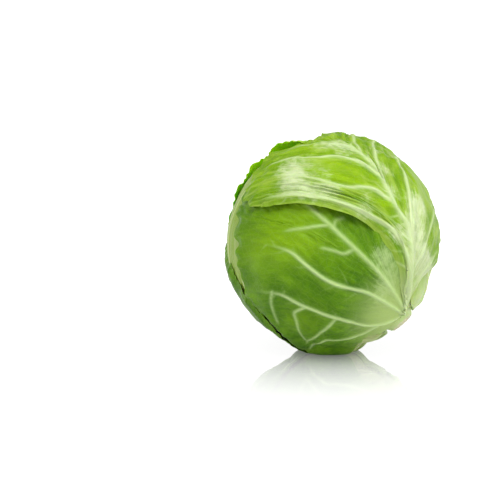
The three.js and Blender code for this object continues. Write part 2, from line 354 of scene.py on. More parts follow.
@dataclass(frozen=True)
class Ripple:
    """A relief of many overlaid waves, the same each time for the same seed."""

    seed: int
    short: float
    long: float
    heading: float = 0.0
    spread: float = 180.0
    waves: int = 26

    def at(self, x: Array, y: Array) -> Array:
        """Gives the relief at flat points, mostly between -1 and 1."""
        draw = np.random.default_rng(self.seed)
        total = np.zeros_like(x)
        for _ in range(self.waves):
            angle = math.radians(self.heading + draw.uniform(-self.spread, self.spread))
            turns = 2 * math.pi / math.exp(draw.uniform(math.log(self.short), math.log(self.long)))
            phase = draw.uniform(0, 2 * math.pi)
            total += np.sin(turns * (x * math.cos(angle) + y * math.sin(angle)) + phase)
        return total / math.sqrt(self.waves)


@dataclass(frozen=True)
class Bump:
    """A round place on a flat leaf, and how much something grows there."""

    x: float
    y: float
    radius: float
    height: float

    def over(self, x: Array, y: Array) -> Array:
        """Gives the growth at flat points."""
        return self.height * bell(np.hypot(x - self.x, y - self.y), self.radius)


@dataclass(frozen=True)
class Vein:
    """A vein drawn on a flat leaf, thick at its start."""

    points: Rib
    size: float = 1.0
    taper: float = 0.7

    def line(self) -> Array:
        """Gives the vein as a smooth line."""
        table = np.array(self.points, float)
        t = np.linspace(0, len(table) - 1, 6 * len(table))
        columns = [through(np.repeat(table[:, axis : axis + 1], len(t), axis=1), t) for axis in (0, 1)]
        return np.stack(columns, axis=1)


def bumps(*rows: tuple[float, float, float, float]) -> list[Bump]:
    """Gives places from the x, y, radius and height of each."""
    return [Bump(*row) for row in rows]


def grown(places: list[Bump], x: Array, y: Array) -> Array:
    """Gives the growth at flat points of all the places together."""
    return sum((place.over(x, y) for place in places), np.zeros(x.shape))


class Tone(Enum):
    """How green a leaf is."""

    INNER = "inner"
    PALE = "pale"
    GREEN = "green"
    # Deep green, partly the leaf's own colour and partly painted shade on the front and side leaves.
    DEEP_AND_SHADED = "deep"
    BRIGHT = "bright"

    @property
    def slot(self) -> str:
        """Gives the name of the leaf's material slot."""
        return self.value + "_leaf"


@dataclass
class WrapperLeaf:
    """One wrapper leaf: its outline and ribs drawn flat, and where it lies on the head."""

    name: str
    tone: Tone
    polar: float
    azimuth: float
    spin: float
    left: list[Rib]
    right: list[Rib]
    frill: float
    bumps: list[Bump] = field(default_factory=list)
    lip: list[Bump] = field(default_factory=list)
    snug: list[Bump] = field(default_factory=list)
    veins: list[Vein] = field(default_factory=list)
    # Patches of waxen bloom that also carry painted highlights: pale spots in place of the lamps'
    # reflections.
    waxy: list[Bump] = field(default_factory=list)
    # Patches of painted light: places where the colour is lightened as if lit.
    sunny: list[Bump] = field(default_factory=list)
    creases: list[Vein] = field(default_factory=list)
    teeth: float = 0.0
    seed: int = 1
    folds: float = 0.5
    fold_places: list[Bump] = field(default_factory=list)
    pucker: float = 0.45

    def __post_init__(self) -> None:
        """Works out the leaf's own directions and its fields."""
        p, a, s = (math.radians(x) for x in (self.polar, self.azimuth, self.spin))
        along_polar = np.array([math.cos(p) * math.cos(a), math.cos(p) * math.sin(a), math.sin(p)])
        along_azimuth = np.array([-math.sin(a), math.cos(a), 0.0])
        self.middle = FORM.direction(self.polar, self.azimuth)
        self.up = along_polar * math.cos(s) + along_azimuth * math.sin(s)
        self.across = along_azimuth * math.cos(s) - along_polar * math.sin(s)
        self.last = len(self.left) - 1
        self.map = FlatMap()
        self.base = self.flat_points(np.zeros(1), np.zeros(1))[0]
        self.trace_margin()
        self.trace_ribs()
        self.shape_relief()

    def flat_points(self, u: Array, v: Array) -> Array:
        """Gives points of the flat leaf.

        Args:
            u: Shares of the way from the midrib to the margin, below 0 on the left.
            v: Rib numbers, from 0 at the base to the last one at the tip.

        Returns:
            The points, in millimetres.
        """
        between = 0.5 - 0.5 * np.cos(2 * np.pi * v)
        between += BLADE.uneven * np.sin(BLADE.uneven_turns * v + self.seed)
        teeth = self.teeth * (0.5 + 0.5 * np.sin(BLADE.teeth_turns * v + 2 * np.sin(5 * v)))
        reach = np.abs(u) * (1 - (BLADE.scallop * between + teeth) * u**4)
        out = np.zeros(u.shape + (2,))
        for on, half in ((u < 0, self.left), (u >= 0, self.right)):
            table = np.array(half, float)
            for axis in (0, 1):
                rows = []
                for rib in table[:, :, axis]:
                    columns = np.repeat(rib[:, None], on.sum(), axis=1)
                    rows.append(through(columns, reach[on] * 4))
                out[on, axis] = through(np.array(rows), v[on])
        return out

    def directions(self, flat: Array) -> Array:
        """Wraps flat points on the head."""
        away = np.linalg.norm(flat, axis=-1)
        angle = away / BLADE.wrap_radius
        sine = np.where(away > 0, np.sin(angle) / np.maximum(away, 1e-9), 0.0)
        return (
            self.middle * np.cos(angle)[..., None]
            + self.across * (flat[..., 0] * sine)[..., None]
            + self.up * (flat[..., 1] * sine)[..., None]
        )

    def flat_of(self, dirs: Array) -> Array:
        """Unwraps directions to this leaf's flat points."""
        x, y = dirs @ self.across, dirs @ self.up
        sine = np.hypot(x, y)
        away = np.arctan2(sine, dirs @ self.middle) * BLADE.wrap_radius
        scale = away / np.maximum(sine, 1e-9)
        return np.stack([x * scale, y * scale], axis=-1)

    def trace_margin(self) -> None:
        """Measures how deep inside the margin each cell is, and where along the margin."""
        steps = self.last * 12
        rise = np.arange(steps) / steps * self.last
        edge = np.arange(8) / 8
        zeros, ones = np.zeros(8), np.ones(steps)
        u = np.concatenate([-edge, -ones, edge - 1, edge, ones, 1 - edge])
        tip = np.full(8, float(self.last))
        v = np.concatenate([zeros, rise, tip, tip, self.last - rise, zeros])
        points = self.flat_points(u, v)
        x, y = self.map.x, self.map.y
        nearest = np.full(x.shape, 1e9)
        self.margin_rib = np.zeros(x.shape)
        self.along = np.zeros(x.shape)
        inside = np.zeros(x.shape, bool)
        travelled = 0.0
        for i, a in enumerate(points):
            b = points[(i + 1) % len(points)]
            length = float(np.linalg.norm(b - a))
            window, gap, t = self.map.segment(a, b, 60.0)
            closer = gap < nearest[window]
            nearest[window] = np.where(closer, gap, nearest[window])
            rib = v[i] + t * (v[(i + 1) % len(points)] - v[i])
            self.margin_rib[window] = np.where(closer, rib, self.margin_rib[window])
            self.along[window] = np.where(closer, travelled + t * length, self.along[window])
            travelled += length
            if a[1] != b[1]:
                rows = (a[1] > y[:, 0]) != (b[1] > y[:, 0])
                border = a[0] + (y[rows] - a[1]) / (b[1] - a[1]) * (b[0] - a[0])
                inside[rows] ^= x[rows] < border
        self.depth = np.where(inside, nearest, -nearest)

    def trace_ribs(self) -> None:
        """Draws the midrib, the side ribs and their branches into the leaf's fields."""
        shape = self.map.x.shape
        self.broad, self.fine = np.zeros(shape), np.zeros(shape)
        self.pale, self.vein_gap = np.zeros(shape), np.full(shape, 40.0)
        self.groove = np.zeros(shape)
        for crease in self.creases:
            self.draw_crease(crease)
        draw = np.random.default_rng(self.seed)
        if self.veins:
            for k, vein in enumerate(self.veins):
                form = SIDE_RIB if k else MIDRIB
                self.draw_rib(vein.line(), vein.size, vein.taper, form)
                self.draw_branches(vein.line(), draw, vein.size)
            return
        v = np.linspace(0, self.last - 0.15, 40)
        self.draw_rib(self.flat_points(np.zeros(40), v), 1.0, 0.75, MIDRIB)
        for k in range(1, self.last):
            for side in (-1, 1):
                u = side * np.linspace(0, 0.97, 30)
                line = self.flat_points(u, np.full(30, float(k)))
                self.draw_rib(line, 1.0, 0.75, SIDE_RIB)
                self.draw_branches(line, draw, 1.0)

    def draw_rib(self, line: Array, size: float, tapering: float, form: RibForm) -> None:
        """Draws a midrib or side rib: a broad swelling with a narrow crest."""
        for window, gap, share in self.map.follow(line, 16.0):
            taper = size * (1 - tapering * share)
            thin = np.maximum(size**0.5 * (1 - 0.75 * tapering * share), BLADE.thinnest_rib)
            swelling = 0.5 * form.height * taper * bell(gap, form.width * thin)
            self.raise_to("broad", window, swelling)
            crest_width = form.crest_width * thin
            self.raise_to("fine", window, form.crest * taper * bell(gap, crest_width))
            core = BLADE.pale_core * bell(gap, crest_width * BLADE.core_width)
            halo = (1 - BLADE.pale_core) * bell(gap, crest_width * BLADE.halo_width)
            strength = min(size, 1.0) * (1 - 0.3 * share) * (1 - smoothstep(0.8, 1, share))
            self.raise_to("pale", window, strength * (core + halo))
            self.vein_gap[window] = np.minimum(self.vein_gap[window], gap)

    def draw_crease(self, crease: Vein) -> None:
        """Draws a crease, deepest halfway along."""
        for window, gap, share in self.map.follow(crease.line(), 10.0):
            depth = crease.size * np.sin(np.pi * share)
            # The groove also darkens the colour with painted shade, through the relief shading.
            self.raise_to("groove", window, depth * bell(gap, BLADE.crease_width))

    def draw_branches(self, line: Array, draw: np.random.Generator, size: float) -> None:
        """Draws the small veins that leave a side rib on both sides."""
        steps = np.linalg.norm(np.diff(line, axis=0), axis=1)
        travelled = np.concatenate([[0.0], np.cumsum(steps)])
        at = draw.uniform(*BRANCHING.first)
        side = 1
        while at < travelled[-1] - BRANCHING.end_room:
            i = int(np.searchsorted(travelled, at)) - 1
            ahead = (line[i + 1] - line[i]) / max(steps[i], 1e-6)
            start = line[i] + ahead * (at - travelled[i])
            length = draw.uniform(*BRANCHING.length) * (1 - 0.4 * at / travelled[-1]) * size**0.5
            angle = side * math.radians(draw.uniform(*BRANCHING.angle))
            vein = [start]
            for _ in range(BRANCHING.parts):
                c, s = math.cos(angle), math.sin(angle)
                turned = np.array([c * ahead[0] - s * ahead[1], s * ahead[0] + c * ahead[1]])
                vein.append(vein[-1] + turned * length / BRANCHING.parts)
                angle += draw.uniform(*BRANCHING.bend) * side
            for window, gap, share in self.map.follow(vein, 8.0):
                taper = (1 - 0.8 * share) * size
                self.raise_to("fine", window, BRANCHING.height * taper * bell(gap, BRANCHING.width))
                self.raise_to("pale", window, BRANCHING.pale * taper * bell(gap, BRANCHING.pale_width))
                self.vein_gap[window] = np.minimum(self.vein_gap[window], gap + 1.5)
            side = -side
            at += draw.uniform(*BRANCHING.apart)

    def raise_to(self, name: str, window: tuple[slice, slice], values: Array) -> None:
        """Raises a field to the given values where they are more."""
        values_now = getattr(self, name)
        values_now[window] = np.maximum(values_now[window], values)

    def shape_relief(self) -> None:
        """Works out how the leaf's thickness, its margin's lift and the room for its relief vary."""
        x, y = self.map.x, self.map.y
        inner = smoothstep(0, BLADE.flat_margin, self.depth)
        away = np.hypot(x - self.base[0], y - self.base[1])
        self.from_base = away
        self.relief = (self.broad + self.fine - self.groove) * inner
        margin = 0.35 + 0.65 * smoothstep(0, BLADE.thin_margin, self.depth)
        self.thickness = BLADE.thickness * margin + BLADE.petiole * bell(away, BLADE.petiole_length)
        near = smoothstep(0, BLADE.edge, BLADE.edge - np.clip(self.depth, 0, BLADE.edge))
        free = smoothstep(BLADE.free_from, BLADE.free_full, away)
        close = np.zeros(x.shape)
        for place in self.snug:
            close = np.maximum(close, np.clip(1.6 * place.over(x, y), 0, 1))
        free = free * (1 - close)
        self.settle = close * smoothstep(6, 0, self.depth)
        wave = 0.5 + 0.5 * np.cos(2 * np.pi * self.margin_rib)
        rise = 0.6 * self.frill * wave * free + grown(self.bumps, x, y)
        inside = np.maximum(self.depth, 0)
        phase = 2 * np.pi * self.along / BLADE.frill_pitch + 2.4 * Ripple(self.seed + 9, 30, 60).at(x, y)
        fringe = bell(inside, BLADE.fringe_reach) * free * self.frill * (0.33 + 0.33 * np.sin(phase))
        crest = smoothstep(BLADE.lip_reach, BLADE.lip_full, inside)
        crest = crest * (1 - 0.6 * smoothstep(BLADE.lip_full, 0, inside))
        lip = grown(self.lip, x, y) * crest * (1 - close)
        self.lift = rise * near + fringe + lip
        stiff = smoothstep(BLADE.texture_from, BLADE.texture_full, away)
        room = (self.folds + self.pucker) * inner * stiff
        self.envelope = swell(self.relief, 6) + room

    def texture(self, flat: Array, u: Array, v: Array) -> Array:
        """Gives the puffed blade between the veins, and the folds that run along the side ribs."""
        along, rank = u * 100, v * 22
        depth = self.map.read(self.depth, flat)
        away = self.map.read(self.from_base, flat)
        stiff = smoothstep(BLADE.texture_from, BLADE.texture_full, away)
        stiff = stiff * smoothstep(0, BLADE.flat_margin, depth)
        waves = Ripple(self.seed + 50, 8, 17, 90.0, 16.0).at(along, rank)
        folded = np.clip(0.5 + 0.45 * waves, 0, 1) ** 1.5
        where = 0.35 + grown(self.fold_places, *flat.T)
        gap = self.map.read(self.vein_gap, flat)
        puff = smoothstep(0.5, 7, gap) * (0.6 + 0.4 * Ripple(self.seed, 7, 18).at(along, rank))
        return stiff * (self.folds * folded * np.clip(where, 0, 1) + self.pucker * np.clip(puff, 0, 1))

    def cover(self, flat: Array, spread: float) -> Array:
        """Gives 1 over the leaf and for a spread past its margin, falling to 0 from there."""
        depth = self.map.read(self.depth, flat)
        return smoothstep(-spread - BLADE.drape, -spread, depth)


@dataclass
class LeafStack:
    """The wrapper leaves from the innermost out, each laid on those below it."""

    leaves: list[WrapperLeaf]

    def open_lift(self, index: int, dirs: Array) -> Array:
        """Gives a leaf's lift where no leaf lies over it."""
        free = np.ones(len(dirs))
        for above in self.leaves[index + 1 :]:
            free *= 1 - above.cover(above.flat_of(dirs), BLADE.hold_spread)
        leaf = self.leaves[index]
        return leaf.map.read(leaf.lift, leaf.flat_of(dirs)) * free

    def below(self, index: int, dirs: Array) -> Array:
        """Gives what the leaves below a leaf measure, with the air between them."""
        height = np.full(len(dirs), BLADE.gap)
        for j, leaf in enumerate(self.leaves[:index]):
            flat = leaf.flat_of(dirs)
            share = leaf.cover(flat, BLADE.cover_spread)
            own = leaf.map.read(leaf.thickness, flat) + leaf.map.read(leaf.envelope, flat)
            height += share * (BLADE.gap + own + self.open_lift(j, dirs))
        return height

    def above(self, index: int, dirs: Array) -> Array:
        """Gives what the leaves between a leaf and the floor measure."""
        height = np.zeros(len(dirs))
        for leaf in self.leaves[index + 1 :]:
            flat = leaf.flat_of(dirs)
            own = leaf.map.read(leaf.thickness, flat) + BLADE.gap
            height += leaf.cover(flat, 0.0) * own
        return height

    def outer_face(self, index: int, u: Array, v: Array) -> tuple[Array, Array, Array]:
        """Works out a leaf's outer face.

        Args:
            index: The leaf's place in the stack.
            u: Shares of the way from the midrib to the margin.
            v: Rib numbers.

        Returns:
            The points in metres, the flat points, and how much each one is pressed on the floor.
        """
        leaf = self.leaves[index]
        flat = leaf.flat_points(u, v)
        dirs = leaf.directions(flat)
        radius = FORM.form_radius(dirs) + self.below(index, dirs) + self.open_lift(index, dirs)
        radius += leaf.map.read(leaf.thickness, flat) + leaf.map.read(leaf.relief, flat)
        radius += leaf.texture(flat, u, v) - BLADE.settle * leaf.map.read(leaf.settle, flat)
        joined = FORM.joined(FORM.polar_of(dirs))
        stem = BLADE.joined_radius + BLADE.joined_step * index + leaf.map.read(leaf.relief, flat)
        radius = radius + joined * (stem - radius)
        down = FORM.downness(dirs)
        edge, full = (math.cos(math.radians(x)) for x in (FORM.flat_fade, FORM.flat_angle))
        press = smoothstep(edge, full, down)
        floor = FORM.height - self.above(index, dirs)
        radius = radius + press * (floor / np.maximum(down, 0.5) - radius)
        return FORM.place(dirs * radius[:, None]), flat, press

    def model(self, index: int) -> bpy.types.Object:
        """Models one leaf as a closed shell from a grid, with its fields as attributes."""
        leaf = self.leaves[index]
        read = leaf.map.read
        wall = BLADE.thickness + BLADE.petiole
        select_nothing()
        bpy.ops.mesh.primitive_grid_add(
            x_subdivisions=BLADE.cells_across, y_subdivisions=BLADE.cells_along, size=2
        )
        piece = bpy.context.object
        piece.name = leaf.name.replace("wrapper", "dressed")
        mesh = piece.data
        places = read_points(mesh)
        u, v = places[:, 0], (places[:, 1] + 1) / 2 * leaf.last
        turn = 2 * np.pi
        u = np.clip(u - BLADE.crowd_across * np.sin(turn * u) / turn, -1, 1)
        v = np.clip(v - BLADE.crowd_along * np.sin(turn * v) / turn, 0, leaf.last)
        points, flat, press = self.outer_face(index, u, v)
        mesh.vertices.foreach_set("co", points.ravel())
        write_uv(mesh, "flat", flat / 100.0)
        write_uv(mesh, "grain", np.stack([u, v * 0.24], axis=1))
        raised = read(leaf.relief, flat) + leaf.texture(flat, u, v)
        write_attributes(
            mesh,
            rib=read(leaf.pale, flat) * (1 - press),
            base=bell(read(leaf.from_base, flat), BLADE.base_reach),
            # Partly waxen bloom and partly painted highlight.
            wax=np.clip(grown(leaf.waxy, *flat.T), 0, 1),
            # Painted light: how much each point is lightened as if lit.
            sun=np.clip(grown(leaf.sunny, *flat.T), 0, 1),
            edge=bell(np.maximum(read(leaf.depth, flat), 0), BLADE.edge_reach),
            # Drives painted shade in the hollows of the relief and painted highlight on its raised parts.
            hollow=np.clip(1 - raised / BLADE.relief_depth, 0, 1),
        )
        group = piece.vertex_groups.new(name="wall")
        for i, share in enumerate(read(leaf.thickness, flat) / wall):
            group.add([i], float(share), "REPLACE")
        solid = piece.modifiers.new("Wall", "SOLIDIFY")
        solid.thickness = wall * MM * BLADE.wall_share
        solid.offset = -1
        solid.vertex_group = group.name
        bpy.ops.object.modifier_apply(modifier=solid.name)
        piece.vertex_groups.clear()
        points = read_points(mesh)
        points[:, 2] = np.maximum(points[:, 2], 0.0)
        mesh.vertices.foreach_set("co", points.ravel())
        bpy.ops.object.shade_smooth_by_angle(angle=math.radians(BLADE.smooth_under))
        return piece


def select_nothing() -> None:
    """Leaves edit mode and deselects every object."""
    if bpy.context.mode != "OBJECT":
        bpy.ops.object.mode_set(mode="OBJECT")
    bpy.ops.object.select_all(action="DESELECT")


def read_points(mesh: bpy.types.Mesh) -> Array:
    """Gives a mesh's points."""
    points = np.zeros(len(mesh.vertices) * 3)
    mesh.vertices.foreach_get("co", points)
    return points.reshape(-1, 3)


def write_attributes(mesh: bpy.types.Mesh, **fields: Array) -> None:
    """Stores named fields on a mesh, each with one number for each point."""
    for name, values in fields.items():
        layer = mesh.attributes.new(name, "FLOAT", "POINT")
        layer.data.foreach_set("value", values.astype(np.float32))


def write_uv(mesh: bpy.types.Mesh, name: str, flat: Array) -> None:
    """Stores one flat position for each point as a UV map."""
    corners = np.zeros(len(mesh.loops), int)
    mesh.loops.foreach_get("vertex_index", corners)
    if mesh.uv_layers[0].name in ("UVMap", name):
        mesh.uv_layers[0].name = name
    else:
        mesh.uv_layers.new(name=name)
    mesh.uv_layers[name].data.foreach_set("uv", flat[corners].ravel())


class Nodes:
    """Adds nodes to a tree and links them."""

    def __init__(self, tree: bpy.types.NodeTree) -> None:
        """Takes the tree to build in."""
        self.tree = tree

    def feed(self, socket: bpy.types.NodeSocket, value: object) -> None:
        """Links a socket to the one given, or sets it to a plain value or colour."""
        if isinstance(value, bpy.types.NodeSocket):
            self.tree.links.new(value, socket)
        elif socket.type == "RGBA":
            socket.default_value = (*value, 1.0)
        else:
            socket.default_value = value

    def set(self, node: bpy.types.Node, **values: object) -> None:
        """Sets a node's properties and feeds its sockets, those whose names match."""
        for name, value in values.items():
            if hasattr(node, name):
                setattr(node, name, value)
            else:
                self.feed(node.inputs[name.replace("_", " ")], value)

    def add(self, kind: str, **values: object) -> bpy.types.Node:
        """Adds a node and sets it."""
        node = self.tree.nodes.new("ShaderNode" + kind)
        self.set(node, **values)
        return node

    def math(self, operation: str, a: object, b: object) -> bpy.types.NodeSocket:
        """Adds a node that works on two numbers or sockets."""
        node = self.add("Math", operation=operation)
        self.feed(node.inputs[0], a)
        self.feed(node.inputs[1], b)
        return node.outputs[0]

    def plus(self, a: object, b: object) -> bpy.types.NodeSocket:
        """Adds two numbers or sockets."""
        return self.math("ADD", a, b)

    def times(self, a: object, b: object) -> bpy.types.NodeSocket:
        """Multiplies two numbers or sockets."""
        return self.math("MULTIPLY", a, b)

    def mix(self, factor: object, a: object, b: object) -> bpy.types.NodeSocket:
        """Mixes two colours or colour sockets."""
        node = self.add("Mix", data_type="RGBA")
        for index, value in ((0, factor), (6, a), (7, b)):
            self.feed(node.inputs[index], value)
        return node.outputs[2]

    def ramp(self, value: bpy.types.NodeSocket, low: float, high: float) -> bpy.types.NodeSocket:
        """Stretches a value so that low gives 0 and high gives 1, smoothly."""
        node = self.add("MapRange", interpolation_type="SMOOTHSTEP", Value=value)
        node.inputs[1].default_value, node.inputs[2].default_value = low, high
        return node.outputs[0]


def new_material(name: str) -> tuple[bpy.types.Material, Nodes, bpy.types.Node]:
    """Starts a material, and gives it with its nodes and its shader."""
    material = bpy.data.materials.new(name)
    material.use_nodes = True
    return material, Nodes(material.node_tree), material.node_tree.nodes["Principled BSDF"]


def new_group(name: str, inputs: dict[str, float], outputs: list[str]) -> tuple[Nodes, object, object]:
    """Starts a shader node group.

    Args:
        name: The group's name.
        inputs: Its number inputs and their usual values, which come after a vector named Vector.
        outputs: Its number outputs.

    Returns:
        The nodes, the sockets that the group is fed by and the sockets that it gives out.
    """
    tree = bpy.data.node_groups.new(name, "ShaderNodeTree")
    tree.interface.new_socket("Vector", in_out="INPUT", socket_type="NodeSocketVector")
    for key, value in inputs.items():
        socket = tree.interface.new_socket(key, in_out="INPUT", socket_type="NodeSocketFloat")
        socket.default_value = value
    for key in outputs:
        tree.interface.new_socket(key, in_out="OUTPUT", socket_type="NodeSocketFloat")
    start = tree.nodes.new("NodeGroupInput")
    end = tree.nodes.new("NodeGroupOutput")
    return Nodes(tree), start.outputs, end.inputs


def vein_net_group() -> bpy.types.NodeTree:
    """Builds the net of the smallest veins: a coarse net with a finer one inside it."""
    nodes, start, end = new_group("Vein net", {"Cells": 22.0, "Fine cells": 60.0}, ["Net", "Height"])
    bend = nodes.add("TexNoise", Vector=start["Vector"], Scale=9.0, Detail=2.0)
    push = nodes.add("VectorMath", operation="SCALE", Vector=bend.outputs["Color"], Scale=0.05)
    moved = nodes.add("VectorMath", operation="ADD", Vector=start["Vector"])
    nodes.feed(moved.inputs[1], push.outputs[0])
    lines = []
    for key, width in (("Cells", 0.07), ("Fine cells", 0.1)):
        cells = nodes.add("TexVoronoi", feature="DISTANCE_TO_EDGE", voronoi_dimensions="2D")
        nodes.set(cells, Vector=moved.outputs[0], Scale=start[key])
        lines.append(nodes.ramp(cells.outputs["Distance"], width, 0.0))
    fine = nodes.times(lines[1], 0.4)
    nodes.feed(end["Net"], nodes.math("MAXIMUM", lines[0], fine))
    nodes.feed(end["Height"], nodes.plus(lines[0], fine))
    return nodes.tree


def mottle_group() -> bpy.types.NodeTree:
    """Builds the leaf's uneven colour: wide patches, and flecks inside them."""
    nodes, start, end = new_group("Leaf mottle", {"Patches": 2.6, "Flecks": 22.0}, ["Patch", "Fleck"])
    for key, out, detail in (("Patches", "Patch", 3.0), ("Flecks", "Fleck", 5.0)):
        noise = nodes.add("TexNoise", Vector=start["Vector"], Scale=start[key])
        nodes.set(noise, Detail=detail, Roughness=0.6)
        nodes.feed(end[out], nodes.ramp(noise.outputs[0], 0.36, 0.66))
    return nodes.tree


def bloom_group() -> bpy.types.NodeTree:
    """Builds the pale, waxen bloom, which lies in patches drawn out along the side ribs."""
    nodes, start, end = new_group("Waxy bloom", {"Amount": 0.5}, ["Bloom"])
    drawn_out = nodes.add("Mapping", Vector=start["Vector"], Scale=(1.0, 2.6, 1.0)).outputs[0]
    noise = nodes.add("TexNoise", Vector=drawn_out, Scale=3.4, Detail=6.0)
    nodes.set(noise, Roughness=0.62, Distortion=0.6)
    patches = nodes.ramp(noise.outputs[0], 0.44, 0.62)
    nodes.feed(end["Bloom"], nodes.times(patches, start["Amount"]))
    return nodes.tree


def fibre_group() -> bpy.types.NodeTree:
    """Builds the fine fibres that run along the side ribs."""
    nodes, start, end = new_group("Leaf fibre", {"Fineness": 9.0}, ["Streak"])
    drawn_out = nodes.add("Mapping", Vector=start["Vector"], Scale=(1.0, 7.0, 1.0)).outputs[0]
    noise = nodes.add("TexNoise", Vector=drawn_out, Detail=5.0, Roughness=0.66, Distortion=0.8)
    nodes.set(noise, Scale=start["Fineness"])
    nodes.feed(end["Streak"], nodes.ramp(noise.outputs[0], 0.36, 0.68))
    return nodes.tree


@dataclass(frozen=True)
class LeafFinish:
    """The colours and gloss of a leaf, among them the colours of its painted light and painted
    highlights.
    """

    tone: Tone
    deep: Colour
    light: Colour
    # The lighter green painted where the leaf gets painted light.
    sunny: Colour
    bloom: Colour
    # The whitish colour of the waxen bloom, also used to paint highlights.
    wax: Colour
    rib: Colour
    base: Colour
    bloom_amount: float
    roughness: float
    light_through: float = 0.15
    light_reach: float = 0.002

    def make(self, groups: dict[str, bpy.types.NodeTree]) -> bpy.types.Material:
        """Makes the material from the leaf's attributes and the shared groups."""
        material, nodes, shader = new_material("Cabbage leaf " + self.tone.value)
        uv = nodes.add("UVMap", uv_map="flat").outputs[0]
        grain_uv = nodes.add("UVMap", uv_map="grain").outputs[0]
        rib, base, edge, hollow, wax_place, sun = (
            nodes.add("Attribute", attribute_name=name).outputs["Fac"]
            for name in ("rib", "base", "edge", "hollow", "wax", "sun")
        )
        mottle = nodes.add("Group", node_tree=groups["mottle"], Vector=uv).outputs
        net = nodes.add("Group", node_tree=groups["net"], Vector=uv).outputs
        fibre = nodes.add("Group", node_tree=groups["fibre"], Vector=grain_uv).outputs
        bloom = nodes.add("Group", node_tree=groups["bloom"], Vector=grain_uv, Amount=self.bloom_amount)
        bloom = bloom.outputs["Bloom"]
        patch, fleck, streak = mottle["Patch"], mottle["Fleck"], fibre["Streak"]
        ragged = nodes.times(nodes.math("SUBTRACT", streak, 0.6), 0.32)
        blotchy = nodes.times(nodes.math("SUBTRACT", fleck, 0.6), 0.25)
        # Waxen bloom and painted highlight: the listed patches, frayed by the streaks and flecks.
        wax = nodes.plus(wax_place, nodes.plus(ragged, blotchy))
        wax = nodes.times(nodes.ramp(wax, 0.2, 1.1), 0.9)
        shade = nodes.plus(nodes.times(patch, 0.6), nodes.times(fleck, 0.25))
        colour = nodes.mix(shade, self.deep, self.light)
        layers = (
            # Painted highlight on the raised relief, then painted shade in its hollows.
            (nodes.ramp(hollow, 0.75, 0.1), 0.35, self.light),
            (nodes.ramp(hollow, 0.45, 0.95), 0.55, self.deep),
            (streak, 0.3, self.light),
            (bloom, 1.0, self.bloom),
            # Painted light: the colour is lightened toward a sunlit green in the painted light patches.
            (sun, nodes.plus(nodes.times(patch, 0.4), 0.6), self.sunny),
            # Waxen bloom and painted highlight: whitish patches mixed into the colour.
            (wax, 1.0, self.wax),
            (net["Net"], 0.06, self.rib),
            (edge, 0.2, self.bloom),
            (nodes.ramp(base, 0.25, 0.95), 0.9, self.base),
            (nodes.ramp(rib, 0.05, 0.9), nodes.plus(nodes.times(streak, 0.2), 0.75), self.rib),
        )
        for place, amount, over in layers:
            colour = nodes.mix(nodes.times(place, amount), colour, over)
        rough = nodes.plus(nodes.times(fleck, 0.06), self.roughness)
        rough = nodes.plus(nodes.times(bloom, 0.22), rough)
        bump = nodes.add("Bump", Strength=0.25, Distance=0.0006, Height=net["Height"])
        bump = nodes.add("Bump", Strength=0.3, Distance=0.0006, Height=streak, Normal=bump.outputs[0])
        nodes.set(
            shader,
            Base_Color=colour,
            Roughness=rough,
            Normal=bump.outputs[0],
            Coat_Weight=nodes.times(nodes.math("MAXIMUM", bloom, wax), 0.35),
            Coat_Roughness=0.3,
            Specular_IOR_Level=0.08,
            Subsurface_Weight=self.light_through,
            Subsurface_Radius=(0.5, 1.0, 0.1),
            Subsurface_Scale=self.light_reach,
        )
        return material


FINISHES = [
    LeafFinish(
        Tone.INNER,
        deep=(0.3, 0.38, 0.08),
        light=(0.4, 0.47, 0.16),
        sunny=(0.42, 0.5, 0.18),
        bloom=(0.46, 0.52, 0.26),
        wax=(0.48, 0.54, 0.3),
        rib=(0.5, 0.55, 0.32),
        base=(0.48, 0.52, 0.28),
        bloom_amount=0.4,
        roughness=0.42,
    ),
    LeafFinish(
        Tone.PALE,
        deep=(0.17, 0.27, 0.02),
        light=(0.25, 0.35, 0.06),
        sunny=(0.3, 0.4, 0.06),
        bloom=(0.38, 0.45, 0.2),
        wax=(0.42, 0.48, 0.28),
        rib=(0.42, 0.49, 0.24),
        base=(0.36, 0.43, 0.16),
        bloom_amount=0.4,
        roughness=0.4,
    ),
    LeafFinish(
        Tone.GREEN,
        deep=(0.13, 0.29, 0.0),
        light=(0.22, 0.4, 0.0),
        sunny=(0.38, 0.56, 0.0),
        bloom=(0.3, 0.43, 0.03),
        wax=(0.4, 0.48, 0.24),
        rib=(0.47, 0.57, 0.28),
        base=(0.4, 0.5, 0.2),
        bloom_amount=0.35,
        roughness=0.36,
        light_through=0.7,
        light_reach=0.004,
    ),
    LeafFinish(
        # A darker copy of the green: partly the leaf's own deeper green, partly painted shade.
        Tone.DEEP_AND_SHADED,
        deep=(0.034, 0.11, 0.0),
        light=(0.105, 0.235, 0.0),
        sunny=(0.17, 0.31, 0.0),
        bloom=(0.19, 0.36, 0.01),
        wax=(0.3, 0.42, 0.15),
        rib=(0.43, 0.56, 0.24),
        base=(0.36, 0.48, 0.15),
        bloom_amount=0.22,
        roughness=0.33,
    ),
    LeafFinish(
        Tone.BRIGHT,
        deep=(0.08, 0.19, 0.0),
        light=(0.2, 0.35, 0.0),
        sunny=(0.24, 0.39, 0.0),
        bloom=(0.3, 0.42, 0.05),
        wax=(0.48, 0.55, 0.32),
        rib=(0.48, 0.58, 0.3),
        base=(0.4, 0.5, 0.2),
        bloom_amount=0.5,
        roughness=0.33,
    ),
]


